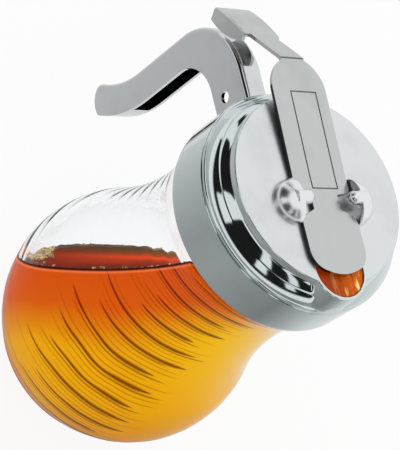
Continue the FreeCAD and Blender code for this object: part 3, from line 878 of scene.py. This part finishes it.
@dataclass
class GlassJar:
    """The glass: fine rings on both faces of its wall, with a plain mouth under the lid."""

    form: JarForm = field(default_factory=JarForm)
    turns: int = 256
    step: float = 0.7 * MM
    start: float = 1.0 * MM
    throat: float = 29.0 * MM
    throat_foot: float = 101.5 * MM
    floor_edge: float = 27.0 * MM
    floor_flat: float = 22.0 * MM

    def outline(self) -> list[tuple[float, float]]:
        """Closed outline of the wall, up the outside and down the inside."""
        form = self.form
        points = [(0.0, 0.0), (form.foot * 0.5, 0.0), (form.foot - 1.2 * MM, 0.0), (form.foot, 0.15 * MM)]
        count = int(form.top / self.step)
        for number in range(count + 1):
            height = self.start + (form.top - self.start) * number / count
            heel = form.radius(form.first)
            share = min(1.0, height / form.first)
            foot = form.foot + (heel - form.foot) * math.sin(share * math.pi / 2) ** 0.9
            points.append((foot if height < form.first else form.ringed(height), height))
        points += [(form.finish + 0.6 * MM, form.top + 0.3 * MM), (form.finish, form.top + 0.8 * MM),
                   (form.finish, form.rim - 1.2 * MM), (form.finish - 0.5 * MM, form.rim - 0.3 * MM),
                   (form.finish - 1.4 * MM, form.rim), (self.throat + 0.8 * MM, form.rim),
                   (self.throat + 0.2 * MM, form.rim - 0.5 * MM), (self.throat, form.rim - 1.4 * MM)]
        inner_top = self.throat_foot
        steps = int(inner_top / self.step)
        for number in range(steps + 1):
            height = inner_top - (inner_top - form.floor - 2.0 * MM) * number / steps
            proud = form.ringed(height)
            points.append((form.radius(height, form.wall) + proud - form.radius(height), height))
        points += [(self.floor_edge, form.floor + 0.3 * MM), (self.floor_flat, form.floor), (0.0, form.floor)]
        return points

    def build(self) -> None:
        """Makes the jar in place of the plain solid."""
        mesh = turned_mesh("ringed_glass", self.outline(), self.turns)
        piece = make_piece("ringed_glass", mesh, [ClearGlass().build()], Body.JAR)
        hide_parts("glass_jar")


@dataclass
class Honey:
    """Honey that reaches just into the glass wall, cut off by its tilted surface."""

    form: JarForm = field(default_factory=JarForm)
    level: Level = field(default_factory=Level)
    inset: float = 2.2 * MM
    turns: int = 256
    edge: float = 1.3 * MM
    dip: float = 0.55 * MM
    strip: float = 5.0 * MM
    bottom: float = 2.2 * MM
    bottom_flat: float = 20.0 * MM
    top: float = 127.0 * MM
    neck: float = 29.2 * MM
    neck_foot: float = 108.0 * MM
    steps: int = 110
    mouth_x: float = 24.7 * MM
    mouth_radius: float = 8.55 * MM
    mouth_top: float = 135.35 * MM
    mouth_depth: float = 10.0 * MM
    mouth_climb: float = 0.28 * MM
    mouth_climb_width: float = 0.35 * MM
    mouth_swell: float = 0.1 * MM

    def outline(self) -> list[tuple[float, float]]:
        """Outline of the full jar's contents, just inside the glass."""
        bottom, top = self.bottom, self.top
        points = [(0.0, bottom), (self.bottom_flat, bottom)]
        low = self.form.first
        points.append((self.form.radius(low, self.inset) - 4.0 * MM, bottom + 1.0 * MM))
        for number in range(self.steps + 1):
            height = low + (top - low) * number / self.steps
            if height < self.neck_foot:
                points.append((self.form.radius(height, self.inset), height))
            else:
                points.append((self.neck, height))
        points.append((0.0, top))
        return points

    def body_mesh(self) -> bpy.types.Mesh:
        """Turned body, cut by the surface, whose rim climbs a little up the glass."""
        mesh = turned_mesh("honey_body", self.outline(), self.turns)
        build = bmesh.new()
        build.from_mesh(mesh)
        normal, run = self.level.normal, self.level.run
        for corner in build.verts:
            corner.co -= normal * self.level.lift(corner.co)
        parts = build.verts[:] + build.edges[:] + build.faces[:]
        cut = bmesh.ops.bisect_plane(build, geom=parts, plane_co=normal * self.level.distance,
                                     plane_no=normal, clear_outer=True)
        edges = [item for item in cut["geom_cut"] if isinstance(item, bmesh.types.BMEdge)]
        top = bmesh.ops.contextual_create(build, geom=edges)["faces"]
        surface = list(top)
        for width, dip in ((0.4, 0.7), (0.6, 0.3)):
            inner = bmesh.ops.inset_region(build, faces=top, thickness=self.edge * width,
                                           depth=-self.dip * dip, use_even_offset=False)
            surface += inner["faces"]
        for face in surface:
            face.material_index = 1 if face in top else 2
        place = -50.0 * MM
        while place < 140.0 * MM:
            flat = [face for face in build.faces if face.material_index == 1]
            parts = {item for face in flat for item in (*face.verts, *face.edges)} | set(flat)
            if flat:
                bmesh.ops.bisect_plane(build, geom=list(parts), plane_co=run * place, plane_no=run)
            place += self.strip
        for corner in build.verts:
            corner.co += normal * self.level.lift(corner.co)
        flat = [face for face in build.faces if len(face.verts) > 4]
        bmesh.ops.triangulate(build, faces=flat)
        build.to_mesh(mesh)
        build.free()
        return mesh

    def build(self) -> None:
        """Makes the honey in place of the plain solid."""
        finish = [HoneyFinish().build(), HoneySurface().build(), HoneyEdge().build()]
        body = make_piece("honey_body", self.body_mesh(), finish, Body.JAR)
        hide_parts("honey")
        mouth = make_piece("honey_in_mouth", self.mouth_mesh(), [MouthHoney().build()], Body.JAR)
        mouth.data.shade_smooth()

    def mouth_mesh(self) -> bpy.types.Mesh:
        """Honey that fills the pouring mouth, a little swollen in its middle."""
        radius, top, depth = self.mouth_radius, self.mouth_top, self.mouth_depth
        outline = [(0.0, top - depth), (radius - 0.6 * MM, top - depth),
                   (radius - 0.1 * MM, top - depth + 0.5 * MM)]
        outline += [(radius, top - depth * (1 - share / 5)) for share in range(1, 5)]
        for step in range(11):
            turn = step / 10 * math.pi / 2
            inward = (1 - math.cos(turn)) * radius
            climb = self.mouth_climb * math.exp(-inward / self.mouth_climb_width)
            reach = radius * math.cos(turn) if step < 10 else 0.0
            outline.append((reach, top + climb + self.mouth_swell * math.sin(turn)))
        mesh = turned_mesh("honey_in_mouth", outline, 96)
        mesh.transform(Matrix.Translation((self.mouth_x, 0.0, 0.0)))
        return mesh


@dataclass
class Bubbles:
    """Fine foam: small bubbles along the edge of the honey's surface."""

    level: Level = field(default_factory=Level)
    form: JarForm = field(default_factory=JarForm)
    count: int = 90
    gathered: int = 420
    foam_start: Vector = field(default_factory=lambda: Vector((-21.0, -31.0, 28.0)) * MM)
    foam_end: Vector = field(default_factory=lambda: Vector((-31.5, -11.0, 9.5)) * MM)
    foam_spread: float = 2.0 * MM
    foam_inset: float = 2.6 * MM
    foam_size: tuple[float, float] = (0.22 * MM, 0.62 * MM)
    lowest: float = 4.6 * MM
    middle_run: float = 56.0 * MM
    seed: int = 7

    def edge_point(self, angle: float, inset: float) -> Vector:
        """Point on the honey's surface at a distance inside the glass.

        Args:
            angle: Direction in the surface, in radians.
            inset: Distance from the glass's outer face.

        Returns:
            The point.
        """
        across = self.level.normal.orthogonal().normalized()
        along = self.level.normal.cross(across)
        middle = self.level.normal * self.level.distance + self.level.run * self.middle_run
        way = across * math.cos(angle) + along * math.sin(angle)
        low, high = 0.0, 90.0 * MM
        for _ in range(40):
            reach = (low + high) / 2
            point = middle + way * reach
            inside = 4.0 * MM < point.z < 127.0 * MM
            if inside and math.hypot(point.x, point.y) < self.form.radius(min(point.z, 111.0 * MM), inset):
                low = reach
            else:
                high = reach
        point = middle + way * low
        return point + self.level.normal * self.level.lift(point)

    def build(self, finish: bpy.types.Material) -> None:
        """Gathers foam at one side near the base and scatters single bubbles along the edge.

        Args:
            finish: Their material.
        """
        draw = random.Random(self.seed)
        build = bmesh.new()
        for _ in range(self.gathered):
            share = draw.random() ** 0.8
            point = self.foam_start.lerp(self.foam_end, share)
            point += Vector([draw.gauss(0.0, self.foam_spread) for _ in range(3)]) * (1.2 - share)
            point -= self.level.normal * self.level.height(point)
            outside = math.hypot(point.x, point.y) > self.form.radius(point.z, self.foam_inset)
            if outside or point.z < self.lowest:
                continue
            size = draw.uniform(*self.foam_size)
            move = Matrix.Translation(point + self.level.normal * size * 0.45)
            bmesh.ops.create_icosphere(build, subdivisions=2, radius=size, matrix=move)
        made = 0
        while made < self.count:
            angle = draw.uniform(0.0, math.tau)
            inset = 2.0 * MM + abs(draw.gauss(0.0, 1.8)) * MM
            point = self.edge_point(angle, inset)
            thick = draw.random() < (1.0 if point.z < 30.0 * MM and point.y < 0 else 0.35)
            if not thick:
                continue
            size = draw.uniform(0.18, 0.5) * MM
            move = Matrix.Translation(point + self.level.normal * size * 0.3)
            bmesh.ops.create_icosphere(build, subdivisions=2, radius=size, matrix=move)
            made += 1
        mesh = bpy.data.meshes.new("bubbles")
        build.to_mesh(mesh)
        build.free()
        make_piece("bubbles", mesh, [finish], Body.JAR)


# ---- lid ------------------------------------------------------------------------------


@dataclass
class Lid:
    """Pressed lid: band, bead, two rounded steps and a flat top drawn out into a pouring lip."""

    top: float = 136.0 * MM
    flat: float = 29.9 * MM
    band: float = 35.1 * MM
    ledge: float = 126.4 * MM
    collar: float = 111.1 * MM
    metal: float = 1.1 * MM
    mouth_x: float = 24.7 * MM
    mouth: float = 8.9 * MM
    lip: float = 9.8 * MM
    lip_low: float = 10.9 * MM
    blend: float = 1.1 * MM
    corner: float = 0.5 * MM
    bead: tuple = ((34.85, 126.66), (34.2, 127.7), 0.35, 6)
    lower_step: tuple = ((34.3, 127.85), (32.25, 131.2), 0.2, 12)
    upper_step: tuple = ((32.15, 131.35), (30.15, 133.55), 0.16, 12)
    turns: int = 480

    def outline(self) -> list[tuple[float, float]]:
        """Outer outline from the foot of the band up to the edge of the flat top."""
        top, band, ledge = self.top, self.band, self.ledge
        points = [(band - 0.5 * MM, self.collar), (band - 0.1 * MM, self.collar + 0.15 * MM),
                  (band, self.collar + 0.6 * MM)]
        points += [(band, self.collar + (ledge - self.collar) * share / 8) for share in range(1, 8)]
        points += [(band, ledge - 0.1 * MM), (band - 0.12 * MM, ledge), (band - 0.42 * MM, ledge + 0.05 * MM),
                   (band - 0.45 * MM, ledge + 0.22 * MM)]
        for rounded in (self.bead, self.lower_step, self.upper_step):
            points += self.bulge(*rounded)
        points += [(29.98 * MM, top - 2.3 * MM), (self.flat, top - 1.9 * MM), (self.flat, top - 1.2 * MM)]
        for step in range(6):
            turn = math.pi / 2 * step / 5
            points.append((self.flat - self.corner * (1 - math.cos(turn)),
                           top - self.corner * (1 - math.sin(turn))))
        return points

    def bulge(self, start: tuple[float, float], end: tuple[float, float], rise: float,
              steps: int) -> list[tuple[float, float]]:
        """A rounded step between two points, bulging up and out.

        Args:
            start: Radius and height of its foot, in millimetres.
            end: Radius and height of its top, in millimetres.
            rise: How far it bulges from the straight line, in millimetres.
            steps: Number of stretches.

        Returns:
            Its points, in metres.
        """
        run, lift = end[0] - start[0], end[1] - start[1]
        length = math.hypot(run, lift)
        points = []
        for step in range(steps + 1):
            share = step / steps
            out = rise * (1 - (2 * share - 1) ** 2) ** 0.7
            points.append(((start[0] + run * share + out * lift / length) * MM,
                           (start[1] + lift * share - out * run / length) * MM))
        return points

    def lip_reach(self, turn: float, height: float) -> float:
        """Distance from the axis to the lip's wall in one direction, or 0 where there is none."""
        drop = (self.top - height) / (self.top - self.ledge)
        radius = self.lip + (self.lip_low - self.lip) * drop
        edge = (height - (self.top - self.corner)) / self.corner
        if edge > 0:
            radius -= self.corner * (1 - math.sqrt(max(0.0, 1 - edge * edge)))
        side = self.mouth_x * math.sin(turn)
        inside = radius * radius - side * side
        if inside <= 0 or math.cos(turn) <= 0:
            return 0.0
        return self.mouth_x * math.cos(turn) + math.sqrt(inside)

    def reach(self, turn: float, radius: float, height: float) -> float:
        """Radius of the lid's outside, with the lip blended in."""
        if height < self.ledge:
            return radius
        lip = self.lip_reach(turn, height)
        blend = self.blend * min(1.0, (self.top - height) / (1.5 * MM)) + 1e-6
        share = max(0.0, min(1.0, 0.5 + 0.5 * (lip - radius) / blend))
        joined = radius + (lip - radius) * share + blend * share * (1 - share)
        limit = self.band - 0.02 * MM
        return min(joined, max(limit, radius))

    def ring(self, build: bmesh.types.BMesh, radius: float, height: float, lipped: bool) -> list:
        """One level ring of points.

        Args:
            build: Mesh under construction.
            radius: Its radius.
            height: Its height.
            lipped: Whether it follows the pouring lip.

        Returns:
            Its vertices.
        """
        row = []
        for step in range(self.turns):
            turn = math.tau * step / self.turns
            reach = self.reach(turn, radius, height) if lipped else radius
            row.append(build.verts.new((reach * math.cos(turn), reach * math.sin(turn), height)))
        return row

    def shell_mesh(self) -> bpy.types.Mesh:
        """Outside, hidden inside and flat top as one closed shell."""
        build = bmesh.new()
        inner = [(28.7, self.top - self.metal), (28.9, self.top - 2.8 * MM), (31.0, self.top - 5.0 * MM),
                 (33.0, self.ledge + 1.0 * MM), (33.2, self.collar)]
        rows = []
        for radius, height in inner:
            rows.append(self.ring(build, radius * MM, height, False))
        for radius, height in self.outline():
            rows.append(self.ring(build, radius, height, True))
        for low, high in zip(rows, rows[1:]):
            for step in range(self.turns):
                after = (step + 1) % self.turns
                build.faces.new((low[step], low[after], high[after], high[step]))
        build.faces.new(rows[0])
        build.faces.new(rows[-1])
        bmesh.ops.recalc_face_normals(build, faces=build.faces)
        mesh = bpy.data.meshes.new("stepped_lid")
        build.to_mesh(mesh)
        build.free()
        return mesh

    def cutter(self) -> bpy.types.Object:
        """Round cutter for the mouth, with a widened top edge."""
        outline = [(0.0, self.ledge + 1.2 * MM), (self.mouth - 0.25 * MM, self.ledge + 1.2 * MM),
                   (self.mouth - 0.25 * MM, self.top - 0.5 * MM),
                   (self.mouth - 0.1 * MM, self.top - 0.15 * MM),
                   (self.mouth + 0.3 * MM, self.top + 0.2 * MM), (self.mouth + 0.3 * MM, self.top + 2 * MM),
                   (0.0, self.top + 2 * MM)]
        mesh = turned_mesh("mouth_cutter", outline, 160)
        mesh.transform(Matrix.Translation((self.mouth_x, 0.0, 0.0)))
        cutter = bpy.data.objects.new("mouth_cutter", mesh)
        bpy.context.scene.collection.objects.link(cutter)
        return cutter

    def build(self, finish: bpy.types.Material) -> None:
        """Makes the lid in place of the plain solid.

        Args:
            finish: Its polished metal.
        """
        piece = make_piece("stepped_lid", self.shell_mesh(), [finish], Body.JAR, 28.0)
        cutter = self.cutter()
        hole = piece.modifiers.new("mouth", "BOOLEAN")
        hole.operation = "DIFFERENCE"
        hole.solver = "EXACT"
        hole.object = cutter
        settle(piece)
        bpy.data.objects.remove(cutter)
        piece.data.set_sharp_from_angle(angle=math.radians(28.0))
        piece.data.materials.append(Metal("lid_top_satin", srgb(228, 231, 231), 0.3).build())
        for face in piece.data.polygons:
            if face.normal.z > 0.999 and face.center.z > self.top - 0.05 * MM:
                face.material_index = len(piece.data.materials) - 1
                face.use_smooth = False
        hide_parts("lid")
        cast = Metal("guide_chrome", srgb(236, 239, 239), 0.26).build()
        for side in (-1, 1):
            Guide(side).build(cast)


def settle(piece: bpy.types.Object) -> None:
    """Writes a piece's modifiers into its mesh and takes them off.

    Args:
        piece: The piece.
    """
    bpy.context.view_layer.update()
    seen = piece.evaluated_get(bpy.context.evaluated_depsgraph_get())
    mesh = bpy.data.meshes.new_from_object(seen)
    old = piece.data
    piece.modifiers.clear()
    piece.data = mesh
    mesh.name = old.name
    if len(mesh.materials) == 0:
        for material in old.materials:
            mesh.materials.append(material)


@dataclass
class Guide:
    """Half dome on the lid whose crown runs in over the shutter's edge as a round prong."""

    side: int
    x: float = 4.2 * MM
    face: float = 10.8 * MM
    top: float = 136.0 * MM
    radius: float = 7.4 * MM
    height: float = 5.5 * MM
    prong: float = 2.2 * MM
    prong_height: float = 3.9 * MM
    tip: float = 8.9 * MM

    def build(self, finish: bpy.types.Material) -> None:
        """Joins dome and prong and smooths the join.

        Args:
            finish: Its polished metal.
        """
        build = bmesh.new()
        stretch = Matrix.Diagonal((self.radius, self.radius, self.height, 1.0))
        dome = Matrix.Translation((self.x, self.side * self.face, self.top)) @ stretch
        bmesh.ops.create_uvsphere(build, u_segments=64, v_segments=32, radius=1.0, matrix=dome)
        for height, way in ((self.top - 0.15 * MM, (0, 0, 1)), (self.side * self.face, (0, -self.side, 0))):
            spot = (0, 0, height) if way[2] else (0, height, 0)
            parts = build.verts[:] + build.edges[:] + build.faces[:]
            below = (0, 0, -1) if way[2] else way
            cut = bmesh.ops.bisect_plane(build, geom=parts, plane_co=spot, plane_no=below, clear_outer=True)
            edges = [item for item in cut["geom_cut"] if isinstance(item, bmesh.types.BMEdge)]
            bmesh.ops.contextual_create(build, geom=edges)
        bmesh.ops.recalc_face_normals(build, faces=build.faces)
        mesh = bpy.data.meshes.new("guide")
        build.to_mesh(mesh)
        build.free()
        name = "guide_left" if self.side > 0 else "guide_right"
        piece = make_piece(name, mesh, [finish], Body.JAR)
        finger = self.prong_object()
        join = piece.modifiers.new("prong", "BOOLEAN")
        join.operation = "UNION"
        join.solver = "EXACT"
        join.object = finger
        melt = piece.modifiers.new("melt", "REMESH")
        melt.mode = "VOXEL"
        melt.voxel_size = 0.16 * MM
        soft = piece.modifiers.new("soft", "SMOOTH")
        soft.factor = 0.5
        soft.iterations = 7
        settle(piece)
        bpy.data.objects.remove(finger)
        piece.data.shade_smooth()

    def prong_object(self) -> bpy.types.Object:
        """A round bar with a round end, reaching in over the shutter."""
        start, end = self.face + 2.6 * MM, self.tip
        outline = [(0.0, start), (self.prong, start), (self.prong, end)]
        for step in range(1, 13):
            turn = math.pi / 2 * step / 12
            outline.append((self.prong * math.cos(turn), end - self.prong * math.sin(turn)))
        outline[-1] = (0.0, end - self.prong)
        mesh = turned_mesh("prong", outline, 48)
        turn = Matrix(((1, 0, 0), (0, 0, self.side), (0, 1, 0))).to_4x4()
        mesh.transform(Matrix.Translation((self.x, 0.0, self.top + self.prong_height)) @ turn)
        build = bmesh.new()
        build.from_mesh(mesh)
        bmesh.ops.recalc_face_normals(build, faces=build.faces)
        build.to_mesh(mesh)
        build.free()
        finger = bpy.data.objects.new("prong", mesh)
        bpy.context.scene.collection.objects.link(finger)
        return finger


@dataclass
class Shutter:
    """Satin steel shutter: softened edges and a plain border line engraved in the plate."""

    node: str = "shutter"
    rear: float = -30.6 * MM
    front: float = 0.4 * MM
    half: float = 4.95 * MM
    shift: float = 1.2 * MM
    line: float = 0.42 * MM
    depth: float = 0.2 * MM
    lift_start: float = -3.0 * MM
    lift: float = math.tan(math.radians(2.5))
    face: float = 137.35 * MM
    bevel: float = 0.22 * MM
    level_face: float = 0.95

    def plate_height(self, x: float) -> float:
        """Height of the plate's upper face at a place along it."""
        return self.face + max(0.0, self.lift_start - x) * self.lift

    def border(self) -> bpy.types.Object:
        """Cutter for the border: a thin frame that follows the plate's lift."""
        build = bmesh.new()
        stations = (self.rear, self.lift_start, self.front)
        for inner, sign in ((0.0, 1), (self.line, -1)):
            corners = []
            for number, x in enumerate(stations):
                along = x + (inner if number == 0 else -inner if number == 2 else 0.0)
                corners.append((along, self.half - inner))
            corners += [(x, -y) for x, y in reversed(corners)]
            rings = []
            for offset in (-self.depth, self.depth * 4):
                rings.append([build.verts.new((x, y + self.shift, self.plate_height(x) + offset))
                              for x, y in corners])
            for step in range(len(corners)):
                after = (step + 1) % len(corners)
                build.faces.new((rings[0][step], rings[0][after], rings[1][after], rings[1][step]))
            if sign > 0:
                outer = rings
        for level in range(2):
            for step in range(6):
                after = (step + 1) % 6
                build.faces.new((outer[level][step], outer[level][after],
                                 rings[level][after], rings[level][step]))
        bmesh.ops.recalc_face_normals(build, faces=build.faces)
        mesh = bpy.data.meshes.new("border_cutter")
        build.to_mesh(mesh)
        build.free()
        cutter = bpy.data.objects.new("border_cutter", mesh)
        bpy.context.scene.collection.objects.link(cutter)
        return cutter

    def shade_flat(self, mesh: bpy.types.Mesh) -> None:
        """Shades the plate's level faces flat, so that the border doesn't tint the metal round it.

        Args:
            mesh: The shutter's mesh.
        """
        for face in mesh.polygons:
            if abs(face.normal.z) > self.level_face:
                face.use_smooth = False

    def build(self) -> None:
        """Makes the shutter in place of the plain solid."""
        solid = bpy.data.objects[self.node]
        mesh = solid.data.copy()
        mesh.name = "engraved_shutter"
        mesh.transform(solid.matrix_world)
        mesh.materials.clear()
        build = bmesh.new()
        build.from_mesh(mesh)
        bmesh.ops.remove_doubles(build, verts=build.verts, dist=0.002 * MM)
        bmesh.ops.dissolve_limit(build, angle_limit=math.radians(0.6), verts=build.verts, edges=build.edges)
        build.to_mesh(mesh)
        build.free()
        finish = Metal("shutter_satin", srgb(201, 205, 204), roughness=0.2, brushed=1.0).build()
        piece = make_piece("engraved_shutter", mesh, [finish], Body.SHUTTER, 35.0)
        soften = piece.modifiers.new("soften", "BEVEL")
        soften.width = self.bevel
        soften.segments = 2
        soften.limit_method = "ANGLE"
        soften.angle_limit = math.radians(40.0)
        cutter = self.border()
        engrave = piece.modifiers.new("engrave", "BOOLEAN")
        engrave.operation = "DIFFERENCE"
        engrave.solver = "EXACT"
        engrave.object = cutter
        settle(piece)
        bpy.data.objects.remove(cutter)
        piece.data.set_sharp_from_angle(angle=math.radians(20.0))
        self.shade_flat(piece.data)
        # Painted shade: the border groove's floor is painted dark steel, darker than the plate; its rougher
        # finish is real.
        piece.data.materials.append(Metal("engraved_groove_shade", srgb(112, 117, 117), roughness=0.35).build())
        # Painted shade: the plate's long side faces are painted near black, for the dark gap and shade along
        # the plate's edges.
        piece.data.materials.append(Metal("plate_side_shade", srgb(66, 70, 70), roughness=0.3).build())
        for face in piece.data.polygons:
            if abs(face.normal.z) < 0.4 and abs(face.normal.y) > 0.3 and face.center.x > self.rear - 2.0 * MM:
                face.material_index = 2
            below = self.plate_height(face.center.x) - face.center.z
            if 0.4 * self.depth < below < 1.3 * self.depth and abs(face.center.y - self.shift) < self.half:
                face.material_index = 1
        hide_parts(self.node)


def dress(node: str, material: bpy.types.Material) -> None:
    """Gives a carried-over node its finish.

    Args:
        node: The node's name.
        material: The finish.
    """
    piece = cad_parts[node]
    piece.data.materials.clear()
    piece.data.materials.append(material)


def main() -> None:
    """Builds the studio and every piece in order."""
    logging.basicConfig(level=logging.INFO)
    Studio().build()
    chrome = Metal("lid_chrome", srgb(216, 225, 225)).build()
    GlassJar().build()
    Honey().build()
    Bubbles().build(Foam().build())
    Lid().build(chrome)
    dress("handle", Metal("handle_chrome", srgb(218, 221, 221)).build())
    Shutter().build()


if __name__ == "__main__":
    main()
